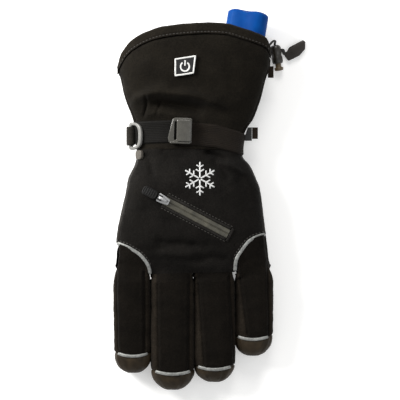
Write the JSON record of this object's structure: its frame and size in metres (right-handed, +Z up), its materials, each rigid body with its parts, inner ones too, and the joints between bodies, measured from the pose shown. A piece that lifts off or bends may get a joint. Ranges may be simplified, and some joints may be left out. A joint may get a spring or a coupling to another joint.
{
  "type": "heated glove",
  "caption": "Padded heated ski glove lying palm down, with gauntlet, wrist strap, pocket zip, power button and a battery pack in the cuff",
  "frame": {"origin": "On the ground plane, under the middle of the gauntlet, at the rest face", "axes": "+Z up from the ground, +Y from the fingertips towards the gauntlet's rim, +X towards the little finger"},
  "size_m": [0.1674, 0.333, 0.0542],
  "materials": {
    "shell_cloth": "black matt woven shell cloth",
    "hem_binding": "folded and stitched hem",
    "palm_leather": "black grained palm leather",
    "tip_leather": "brown-black gathered leather",
    "piping": "silver-grey reflective piping",
    "button_pad": "soft black button pad",
    "button_print": "white print",
    "webbing": "black woven webbing",
    "hardware_plastic": "glossy black moulded plastic",
    "ring_plastic": "grey moulded plastic",
    "zip_tape_coat": "olive-grey coated zip tape",
    "slider_metal": "bright plated slider",
    "pull_rubber": "dark ribbed moulded pull",
    "drawcord_braid": "black elastic braid",
    "plunger_plastic": "worn brownish plastic",
    "battery_wrap": "blue shrink wrap"
  },
  "bodies": {
    "glove": {"gauntlet_back": "shell_cloth", "hand_back": "shell_cloth", "gauntlet_palm": "shell_cloth", "index_back": "shell_cloth", "middle_back": "shell_cloth", "ring_back": "shell_cloth", "little_back": "shell_cloth", "gauntlet_hem": "hem_binding", "palm": "palm_leather", "thumb": "palm_leather", "index_palm": "palm_leather", "middle_palm": "palm_leather", "ring_palm": "palm_leather", "little_palm": "palm_leather", "thumb_cap": "tip_leather", "index_cap": "tip_leather", "middle_cap": "tip_leather", "ring_cap": "tip_leather", "little_cap": "tip_leather", "index_piping": "piping", "little_piping": "piping", "index_tip_piping": "piping", "middle_tip_piping": "piping", "ring_tip_piping": "piping", "little_tip_piping": "piping", "power_button": "button_pad", "button_frame": "button_print", "strap": "webbing", "strap_left": "webbing", "ring_loop": "webbing", "side_tab": "webbing", "cord_anchor_tab": "webbing", "buckle": "hardware_plastic", "strap_bar": "hardware_plastic", "cord_lock": "hardware_plastic", "cord_clip": "hardware_plastic", "strap_ring": "ring_plastic", "zip_tape": "zip_tape_coat", "zip_slider": "slider_metal", "drawcord": "drawcord_braid", "lock_tether": "drawcord_braid", "battery_pack": "battery_wrap"},
    "zip_pull": {"zip_pull": "pull_rubber"},
    "lock_plunger": {"lock_plunger": "plunger_plastic"}
  },
  "joints": [
    {"name": "zip_pull_turn", "type": "hinge", "parent": "glove", "child": "zip_pull", "pos_m": [-0.02857, -0.09835, 0.05197], "axis": [0.4663, 0.8825, -0.0617], "range_deg": [0, 150]},
    {"name": "plunger_press", "type": "slide", "parent": "glove", "child": "lock_plunger", "axis": [-0.165, 0.9863, 0], "range_m": [0, 0.003], "stiffness_N_per_m": 1000, "springref_m": -0.0004}
  ]
}
